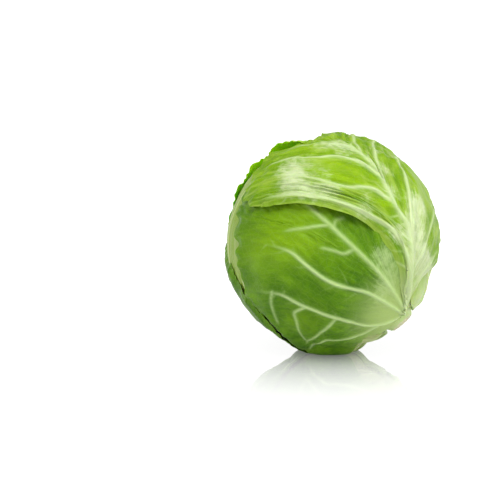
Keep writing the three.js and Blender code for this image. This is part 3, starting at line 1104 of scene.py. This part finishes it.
FRONT_LEFT: list[Rib] = [
    [(0, -98), (-24, -100), (-42, -90), (-66, -97), (-92, -90)],
    [(0, -95), (-24, -88), (-44, -66), (-68, -58), (-100, -46)],
    [(0, -92), (-28, -78), (-43, -42), (-58, -10), (-94, 14)],
    [(2, -86), (-9, -54), (-23, -20), (-32, 14), (-70, 46)],
    [(6, -50), (-3, -14), (-12, 16), (-30, 40), (-56, 64)],
    [(5, 4), (-6, 22), (-18, 38), (-30, 56), (-42, 78)],
    [(3, 36), (-4, 50), (-12, 62), (-20, 74), (-28, 86)],
    [(0, 84), (-3, 86), (-7, 87), (-10, 88), (-14, 89)],
]
FRONT_RIGHT: list[Rib] = [
    [(0, -98), (12, -90), (28, -74), (50, -62), (74, -48)],
    [(0, -95), (15, -78), (38, -58), (62, -40), (88, -20)],
    [(0, -92), (18, -64), (42, -32), (68, -8), (94, 10)],
    [(2, -86), (18, -46), (38, -8), (62, 18), (88, 36)],
    [(6, -50), (18, -12), (34, 18), (54, 40), (78, 58)],
    [(5, 4), (12, 30), (22, 48), (36, 62), (56, 76)],
    [(3, 36), (8, 53), (15, 66), (24, 77), (34, 87)],
    [(0, 84), (3, 86), (6, 87), (9, 88), (13, 89)],
]
FRONT_VEINS = [
    Vein([(0, -98), (4, -82), (6, -62), (7, -40), (6, -16), (5, 8), (4, 28), (2, 60)], 0.75, 0.6),
    Vein([(0, -92), (-5, -68), (-10, -48), (-20, -29), (-26, -9), (-28, 12), (-46, 44)], 1.0),
    Vein([(-2, -94), (-16, -88), (-31, -75), (-40, -48), (-50, -25), (-58, -4), (-84, 22)], 1.0),
    Vein([(5, 9), (-3, 15), (-10, 20), (-16, 25), (-26, 32)], 0.6),
    Vein([(6, 6), (10, 8), (14, 7), (17, 4)], 0.55),
    Vein([(6, -16), (-2, -13), (-6, -6), (-9, -1), (-13, 4)], 0.6),
    Vein([(-42, -46), (-53, -48), (-66, -50), (-78, -51), (-92, -57)], 0.75),
    Vein([(-52, -22), (-61, -20), (-68, -28), (-76, -37), (-82, -48), (-86, -62)], 0.7),
    Vein([(-24, -84), (-44, -80), (-58, -68), (-70, -60), (-84, -60), (-96, -66)], 0.8),
    Vein([(-63, 4), (-72, -2), (-80, -12), (-88, -24)], 0.6),
]
RIGHT_LEFT: list[Rib] = [
    [(0, -104), (-14, -107), (-28, -110), (-42, -108), (-58, -100)],
    [(0, -94), (-18, -86), (-38, -80), (-58, -77), (-80, -70)],
    [(0, -76), (-18, -52), (-40, -38), (-62, -30), (-88, -22)],
    [(0, -50), (-16, -22), (-37, 0), (-61, 12), (-90, 20)],
    [(0, -20), (-12, 8), (-30, 30), (-50, 46), (-76, 58)],
    [(0, 18), (-8, 40), (-18, 56), (-31, 70), (-46, 82)],
    [(0, 80), (-3, 82), (-6, 84), (-10, 86), (-15, 88)],
]
TOP_LEFT: list[Rib] = [
    [(18, -107), (-2, -72), (-21, -33), (-56, 1), (-88, 25)],
    [(4, -76), (-5, -40), (-31, -14), (-62, 14), (-97, 39)],
    [(4, -46), (-12, -24), (-36, -1), (-64, 24), (-98, 53)],
    [(-4, -12), (-24, 1), (-46, 20), (-66, 40), (-90, 62)],
    [(-3, 6), (-14, 28), (-34, 43), (-56, 58), (-76, 73)],
    [(-5, 38), (-15, 54), (-27, 63), (-40, 70), (-52, 77)],
    [(-8, 74), (-11, 73), (-15, 72), (-19, 71), (-25, 70)],
]
TOP_RIGHT: list[Rib] = [
    [(18, -107), (16, -92), (28, -76), (46, -62), (68, -48)],
    [(4, -76), (15, -58), (33, -40), (57, -20), (86, 0)],
    [(4, -46), (13, -17), (26, 14), (46, 34), (82, 42)],
    [(-4, -12), (6, 20), (22, 42), (42, 56), (68, 66)],
    [(-3, 6), (3, 38), (14, 56), (29, 68), (48, 80)],
    [(-5, 38), (0, 56), (8, 67), (18, 77), (28, 87)],
    [(-8, 74), (-4, 76), (0, 79), (4, 81), (9, 84)],
]
TOP_VEINS = [
    Vein(
        [(17, -106), (8, -82), (4, -58), (4, -34), (-3, -12), (-3, 14), (-5, 40), (-10, 66)],
        1.7,
        0.75,
    ),
    Vein([(5, -72), (0, -50), (-9, -33), (-28, -17), (-50, 4), (-70, 20), (-95, 37)], 1.15, 0.5),
    Vein([(4, -50), (9, -31), (17, -7), (25, 14), (40, 31), (78, 42)], 0.9),
    Vein([(-4, -12), (-15, 0), (-30, 6), (-44, 19), (-56, 34), (-84, 60)], 0.8),
    Vein([(-3, 8), (-10, 23), (-22, 35), (-38, 44), (-56, 58), (-74, 72)], 0.9),
    Vein([(4, -44), (-8, -26), (-24, -12), (-42, 4), (-62, 26), (-90, 48)], 0.35),
    Vein([(-5, 36), (-14, 52), (-27, 62), (-48, 75)], 0.7),
    Vein([(-3, 2), (5, 24), (20, 42), (42, 57), (64, 65)], 0.8),
    Vein([(-4, 30), (4, 46), (14, 58), (28, 69), (45, 79)], 0.7),
    Vein([(5, -68), (15, -54), (30, -38), (54, -18), (82, -1)], 0.8),
    Vein([(10, -86), (20, -70), (36, -58), (56, -46)], 0.6),
]
SIDE_RIGHT: list[Rib] = [
    [(0, -102), (6, -91), (14, -77), (28, -62), (48, -48)],
    [(0, -94), (11, -72), (29, -54), (55, -39), (88, -26)],
    [(0, -76), (14, -48), (36, -26), (64, -10), (100, 4)],
    [(0, -50), (14, -20), (34, 4), (60, 23), (92, 40)],
    [(0, -20), (11, 8), (27, 30), (45, 48), (66, 66)],
    [(0, 18), (7, 40), (16, 56), (27, 70), (39, 84)],
    [(0, 80), (3, 82), (5, 84), (8, 86), (12, 88)],
]


def wrapper_leaves() -> list[WrapperLeaf]:
    """Gives the wrapper leaves, from the innermost out."""
    low = WrapperLeaf(
        "wrapper_leaf_1_low", Tone.PALE, polar=84, azimuth=-72, spin=4,
        left=plain_half(-1, 1.1, 1.45, 0.3),
        right=plain_half(1, 1.1, 1.45, 0.5),
        frill=1,
        seed=11,
    )
    crown = WrapperLeaf(
        "wrapper_leaf_2_crown", Tone.GREEN, polar=84, azimuth=172, spin=-6,
        left=plain_half(-1, 1, 1.65, 0.6),
        right=plain_half(1, 1, 1.65, 0.4),
        frill=1.5,
        bumps=bumps((20, 140, 34, 4), (-32, 140, 34, 6)),
        # A patch of painted light.
        sunny=bumps((0, 140, 55, 1)),
        seed=12,
    )
    front = WrapperLeaf(
        # Its deep tone is partly painted shade.
        "wrapper_leaf_3_front", Tone.DEEP_AND_SHADED, polar=80, azimuth=9, spin=-3,
        left=FRONT_LEFT,
        right=FRONT_RIGHT,
        veins=FRONT_VEINS,
        frill=2,
        bumps=bumps((-98, -40, 34, 1), (-94, -78, 24, 3)),
        seed=13,
        folds=0.5,
        fold_places=bumps((-25, -33, 12, 0.6), (-70, -70, 22, 0.5)),
        creases=[
            Vein([(-38, -22), (-30, -27), (-22, -33), (-12, -44)], 1.1),
            Vein([(-66, -52), (-58, -58), (-50, -64)], 0.8),
            Vein([(20, -8), (14, -20), (11, -34)], 0.8),
        ],
        # Patches of painted light.
        sunny=bumps((-10, 24, 24, 1), (-44, 42, 22, 0.6), (-62, -30, 16, 0.5)),
        pucker=0.8,
        # Patches of waxen bloom and painted highlight.
        waxy=bumps(
            (0, -14, 7, 0.35), (-36, -66, 9, 0.35), (18, -36, 13, 0.9), (10, -56, 14, 0.8),
            (-4, -60, 11, 0.6), (-15, -84, 14, 0.4), (-44, -100, 16, 0.5),
        ),
    )
    right = WrapperLeaf(
        "wrapper_leaf_4_right", Tone.GREEN, polar=84, azimuth=126, spin=0,
        left=RIGHT_LEFT,
        right=plain_half(1),
        frill=3,
        seed=14,
    )
    top = WrapperLeaf(
        "wrapper_leaf_5_top", Tone.BRIGHT, polar=85, azimuth=52, spin=16,
        left=TOP_LEFT,
        right=TOP_RIGHT,
        veins=TOP_VEINS,
        frill=1.5,
        bumps=bumps((-50, 74, 26, 3), (50, -62, 16, 2.5)),
        lip=bumps((-48, -10, 28, 5), (-36, -22, 13, 3), (-86, 20, 28, 3)),
        snug=bumps((0, -72, 40, 1), (-14, -46, 22, 1)),
        seed=15,
        folds=2.0,
        pucker=0.7,
        fold_places=bumps((-40, 5, 36, 0.8), (-20, 40, 30, 0.4)),
        # Patches of waxen bloom and painted highlight.
        waxy=bumps(
            (-54, 42, 15, 0.9), (-64, 26, 12, 0.7), (-56, 13, 12, 0.6), (-42, 8, 10, 0.7),
            (-36, 25, 7, 0.4), (-21, -4, 7, 0.5), (-33, -14, 7, 0.4), (-22, 54, 12, 0.5),
            (-13, 36, 8, 0.45), (14, 32, 9, 0.6), (5, 12, 8, 0.8), (0, -6, 7, 0.7),
            (20, -18, 13, 1), (10, -34, 11, 1), (14, -52, 13, 1), (24, -64, 14, 0.9),
            (36, -76, 18, 0.7), (-8, -36, 8, 0.8), (-26, -17, 8, 0.5), (-8, 50, 12, 0.6),
        ),
        creases=[
            Vein([(-56, 16), (-40, 3), (-23, -9), (-11, -24)], 0.5),
            Vein([(-58, 2), (-44, -8), (-31, -21)], 0.6),
            Vein([(-34, 24), (-22, 12), (-12, 6)], 0.7),
        ],
        # Patches of painted light.
        sunny=bumps((-30, 22, 16, 0.35), (38, 8, 18, 0.7), (-34, 60, 14, 0.6)),
    )
    side = WrapperLeaf(
        # Its deep tone is partly painted shade.
        "wrapper_leaf_6_side", Tone.DEEP_AND_SHADED, polar=84, azimuth=-128, spin=-4,
        left=plain_half(-1, 1.1),
        right=SIDE_RIGHT,
        frill=1.6,
        bumps=bumps((60, -38, 16, 1.2)),
        snug=bumps((16, -80, 34, 1), (62, 62, 44, 1), (90, 8, 30, 0.5)),
        teeth=0.015,
        seed=16,
    )
    return [low, crown, front, right, top, side]


@dataclass
class InnerHead:
    """The dense inner head, with the folded margins of its packed leaves."""

    inset: float = 0.4
    stem_inset: float = 1.6
    folds: int = 5
    fold_polar: float = 112.0
    fold_height: float = 0.9
    fold_reach: float = 66.0
    fold_wander: float = 2.5
    fold_edge: float = 1.6
    fold_start: float = 20.0
    fold_waves: int = 7
    lowest_fold: float = 0.55
    fold_step: float = 0.09
    rib_count: int = 9
    rib_height: float = 0.35
    rib_bend: float = 0.35
    rib_sharpness: int = 12
    segments: int = 240
    rings: int = 150
    flat_scale: float = 0.013
    grain_scale: float = 0.008
    base_reach: float = 60.0
    relief_depth: float = 1.2

    def model(self) -> bpy.types.Object:
        """Models the inner head from a sphere."""
        select_nothing()
        bpy.ops.mesh.primitive_uv_sphere_add(segments=self.segments, ring_count=self.rings, radius=1)
        piece = bpy.context.object
        piece.name = "dressed_inner_head"
        mesh = piece.data
        dirs = read_points(mesh)
        dirs = dirs / np.linalg.norm(dirs, axis=1)[:, None]
        relief = self.relief(dirs)
        polar = FORM.polar_of(dirs)
        radius = FORM.form_radius(dirs) - self.inset - self.fold_height + relief
        radius += FORM.joined(polar) * (BLADE.joined_radius - self.stem_inset - radius)
        azimuth = np.arctan2(dirs[:, 1], dirs[:, 0])
        flat = np.degrees(np.stack([azimuth, np.arcsin(dirs[:, 2])], axis=1))
        mesh.vertices.foreach_set("co", FORM.place(dirs * radius[:, None]).ravel())
        write_uv(mesh, "flat", flat * self.flat_scale)
        write_uv(mesh, "grain", flat * self.grain_scale)
        none = np.zeros(len(dirs))
        write_attributes(
            mesh,
            rib=self.ribs(dirs),
            base=bell(polar, self.base_reach),
            edge=none,
            # The inner head gets no waxen bloom, no painted highlight and no painted light.
            wax=none,
            sun=none,
            # Painted shade and highlight from the relief of the folds and ribs.
            hollow=np.clip(1 - relief / self.relief_depth, 0, 1),
        )
        bpy.ops.object.shade_smooth()
        return piece

    def relief(self, dirs: Array) -> Array:
        """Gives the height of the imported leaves' folded margins and ribs."""
        total = np.zeros(len(dirs))
        for k in range(self.folds):
            middle = FORM.direction(self.fold_polar, k * 360.0 / self.folds + self.fold_start)
            away = np.degrees(np.arccos(np.clip(dirs @ middle, -1, 1)))
            azimuth = np.arctan2(dirs[:, 1], dirs[:, 0])
            away += self.fold_wander * np.sin(azimuth * self.fold_waves + k)
            inside = smoothstep(self.fold_reach + self.fold_edge, self.fold_reach, away)
            share = self.lowest_fold + self.fold_step * k
            total = total * (1 - inside) + inside * self.fold_height * share
        return total + self.rib_height * self.ribs(dirs)

    def ribs(self, dirs: Array) -> Array:
        """Gives the ribs that run up from the stem."""
        azimuth = np.arctan2(dirs[:, 1], dirs[:, 0])
        polar = np.radians(FORM.polar_of(dirs))
        bent = azimuth + self.rib_bend * np.sin(polar * 2)
        crests = np.clip(np.cos(bent * self.rib_count), 0, 1) ** self.rib_sharpness
        return crests * smoothstep(3.0, 2.1, polar)


@dataclass
class StemStump:
    """The stub of stem with its cut end."""

    radius: float = 9.6
    end_radius: float = 9.9
    top: float = 58.0
    cut: float = 82.0
    bevel: float = 1.2
    flare: float = 8.0
    flare_start: float = 2.0
    flare_length: float = 7.0
    end_rings: tuple[float, ...] = (0.9, 1.8, 2.4, 2.6)
    sides: int = 72
    cuts: int = 5
    grooves: int = 11
    groove_depth: float = 0.02
    ring_height: float = 0.22
    ray_height: float = 0.16
    rays: int = 9
    dip: float = 0.3
    smooth_under: float = 50.0

    def model(self) -> bpy.types.Object:
        """Models the stub from a cylinder, with a bevelled end and a flared, grooved side."""
        select_nothing()
        middle = -(self.top + self.cut) / 2
        bpy.ops.mesh.primitive_cylinder_add(
            vertices=self.sides,
            radius=self.radius,
            depth=self.cut - self.top,
            location=(0, 0, middle),
        )
        piece = bpy.context.object
        piece.name = "dressed_stem_stump"
        mesh = piece.data
        bpy.ops.object.transform_apply(location=True, rotation=True, scale=True)
        self.select_end(mesh)
        bpy.ops.object.mode_set(mode="EDIT")
        bpy.ops.transform.resize(value=(self.end_radius / self.radius,) * 2 + (1,))
        for width in self.end_rings:
            bpy.ops.mesh.inset(thickness=width, depth=0)
        bpy.ops.mesh.select_all(action="SELECT")
        bpy.ops.mesh.subdivide(number_cuts=self.cuts)
        bpy.ops.object.mode_set(mode="OBJECT")
        points = read_points(mesh)
        away = np.hypot(points[:, 0], points[:, 1])
        angle = np.arctan2(points[:, 1], points[:, 0])
        end = smoothstep(-self.cut + self.bevel, -self.cut, points[:, 2])
        round_off = self.bevel * smoothstep(self.end_radius - 2.2, self.end_radius, away)
        rings = self.ring_height * np.sin(away * 1.9) + self.ray_height * np.sin(angle * self.rays + away)
        points[:, 2] += end * (round_off + self.dip + rings)
        grooved = np.sin(angle * self.grooves + points[:, 2] * 0.2)
        wider = 1 + (1 - end) * self.groove_depth * grooved
        start = -self.cut + self.flare_start
        wider += self.flare / self.radius * smoothstep(start, start + self.flare_length, points[:, 2])
        points[:, :2] *= wider[:, None]
        mesh.vertices.foreach_set("co", FORM.place(points).ravel())
        write_attributes(mesh, cut=end * smoothstep(0.4, 1.6, self.end_radius - away))
        bpy.ops.object.shade_smooth_by_angle(angle=math.radians(self.smooth_under))
        return piece

    def select_end(self, mesh: bpy.types.Mesh) -> None:
        """Selects only the face at the cut end, with its corners."""
        for things in (mesh.polygons, mesh.edges, mesh.vertices):
            things.foreach_set("select", np.zeros(len(things), bool))
        for face in mesh.polygons:
            if face.normal.z < -0.9:
                face.select = True
                for corner in face.vertices:
                    mesh.vertices[corner].select = True

    def finish(self) -> bpy.types.Material:
        """Makes the stem's material: a pale green skin and a dry, paler cut."""
        material, nodes, shader = new_material("Cut cabbage stem")
        place = nodes.add("TexCoord").outputs["Object"]
        grain = nodes.add("TexNoise", Vector=place, Scale=420.0, Detail=5.0, Roughness=0.6).outputs[0]
        patches = nodes.add("TexNoise", Vector=place, Scale=90.0, Detail=3.0).outputs[0]
        cut = nodes.add("Attribute", attribute_name="cut").outputs["Fac"]
        skin = nodes.mix(patches, (0.32, 0.44, 0.12), (0.42, 0.52, 0.22))
        face = nodes.mix(nodes.ramp(grain, 0.35, 0.7), (0.42, 0.42, 0.22), (0.52, 0.52, 0.34))
        bump = nodes.add("Bump", Strength=0.4, Distance=0.0004, Height=grain)
        nodes.set(
            shader,
            Base_Color=nodes.mix(cut, skin, face),
            Roughness=nodes.plus(nodes.times(cut, 0.3), 0.45),
            Normal=bump.outputs[0],
            Subsurface_Weight=0.1,
            Subsurface_Scale=0.002,
        )
        return material


@dataclass
class Studio:
    """The floor, the lights and the camera."""

    lens: float = 90.0
    sensor: float = 36.0
    distance: float = 941.0
    elevation: float = 7.0
    head_x: float = 330.0
    head_y: float = 242.0
    white: float = 0.28
    glow: float = 0.92
    polish: float = 0.035
    gloss_reach: float = 0.45
    gloss_fall: float = 3.3
    around: float = 1.2
    overhead: float = 0.35

    def camera(self) -> None:
        """Places the camera so that the head falls where the photograph has it."""
        rise = math.radians(self.elevation)
        right = np.array([1.0, 0.0, 0.0])
        ahead = np.array([0.0, math.cos(rise), -math.sin(rise)])
        up = np.array([0.0, math.sin(rise), math.cos(rise)])
        pixel = self.sensor / self.lens / PHOTO_WIDTH * self.distance
        across = (self.head_x - PHOTO_WIDTH / 2) * pixel
        above = (PHOTO_WIDTH / 2 - self.head_y) * pixel
        head = np.array([0.0, 0.0, FORM.height])
        at = head - ahead * self.distance - right * across - up * above
        data = bpy.data.cameras.new("Camera")
        data.lens, data.sensor_width = self.lens, self.sensor
        camera = bpy.data.objects.new("Camera", data)
        bpy.context.scene.collection.objects.link(camera)
        camera.location = at * MM
        camera.rotation_euler = (math.pi / 2 - rise, 0, 0)
        bpy.context.scene.camera = camera

    def floor(self) -> None:
        """Lays the pale glossy floor, whose gloss fades away from the head."""
        select_nothing()
        bpy.ops.mesh.primitive_plane_add(size=24)
        plane = bpy.context.object
        plane.name = "studio_floor"
        material, nodes, shader = new_material("White glossy floor")
        end = nodes.tree.nodes["Material Output"]
        nodes.tree.nodes.remove(shader)
        white = nodes.add("BsdfDiffuse", Color=(self.white,) * 3)
        glow = nodes.add("Emission", Strength=self.glow)
        gloss = nodes.add("BsdfGlossy", Roughness=self.polish)
        place = nodes.add("TexCoord").outputs["Object"]
        away = nodes.add("VectorMath", operation="LENGTH", Vector=place)
        far = nodes.math("DIVIDE", away.outputs["Value"], self.gloss_reach)
        near = nodes.math("MAXIMUM", nodes.math("SUBTRACT", 1.0, far), 0.0)
        lit = nodes.add("AddShader")
        both = nodes.add("MixShader")
        for socket, value in (
            (lit.inputs[0], white.outputs[0]),
            (lit.inputs[1], glow.outputs[0]),
            (both.inputs[0], nodes.math("POWER", near, self.gloss_fall)),
            (both.inputs[1], lit.outputs[0]),
            (both.inputs[2], gloss.outputs[0]),
            (end.inputs["Surface"], both.outputs[0]),
        ):
            nodes.feed(socket, value)
        plane.data.materials.append(material)

    def lamp(self, name: str, azimuth: float, height: float, width: float, power: float) -> None:
        """Hangs a large far softbox.

        Args:
            name: Its name.
            azimuth: Degrees round the head, 0 at the camera and 90 at the right.
            height: Degrees above the floor.
            width: How many degrees wide it looks from the head.
            power: Its strength.
        """
        data = bpy.data.lights.new(name, "SUN")
        data.energy = power
        data.angle = math.radians(width)
        light = bpy.data.objects.new(name, data)
        bpy.context.scene.collection.objects.link(light)
        light.rotation_euler = (math.radians(90 - height), 0, math.radians(azimuth))

    def lights(self) -> None:
        """Hangs the softboxes and sets the white surroundings."""
        self.lamp("Top softbox", 10, 66, 44, 2.0)
        self.lamp("Right softbox", 58, 36, 26, 1.2)
        self.lamp("Left softbox", -40, 50, 26, 1.2)
        world = bpy.data.worlds.new("White surroundings")
        world.use_nodes = True
        nodes = Nodes(world.node_tree)
        split = nodes.add("SeparateXYZ", Vector=nodes.add("TexCoord").outputs["Generated"])
        ceiling = nodes.times(nodes.ramp(split.outputs[2], 0.2, 0.5), self.around - self.overhead)
        nodes.set(
            world.node_tree.nodes["Background"],
            Color=(1, 1, 1),
            Strength=nodes.math("SUBTRACT", self.around, ceiling),
        )
        bpy.context.scene.world = world
        bpy.context.scene.view_settings.view_transform = "Standard"


def dress(piece: bpy.types.Object, material: bpy.types.Material, node: str, slot: str) -> None:
    """Gives a piece its material, and has it ride on the head in place of its solid."""
    piece.data.materials.clear()
    piece.data.materials.append(material)
    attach(piece, "root")
    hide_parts(node)
    log.info("%s: %d faces", piece.name, len(piece.data.polygons))


def main() -> None:
    """Builds the scene."""
    logging.basicConfig(level=logging.INFO, format="%(message)s")
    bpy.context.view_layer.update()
    studio = Studio()
    studio.camera()
    studio.floor()
    studio.lights()
    groups = {
        "net": vein_net_group(),
        "mottle": mottle_group(),
        "bloom": bloom_group(),
        "fibre": fibre_group(),
    }
    finishes = {finish.tone: finish.make(groups) for finish in FINISHES}
    dress(InnerHead().model(), finishes[Tone.INNER], "inner_head", Tone.INNER.slot)
    stump = StemStump()
    dress(stump.model(), stump.finish(), "stem_stump", "stem")
    stack = LeafStack(wrapper_leaves())
    for index, leaf in enumerate(stack.leaves):
        dress(stack.model(index), finishes[leaf.tone], leaf.name, leaf.tone.slot)


if __name__ == "__main__":
    main()
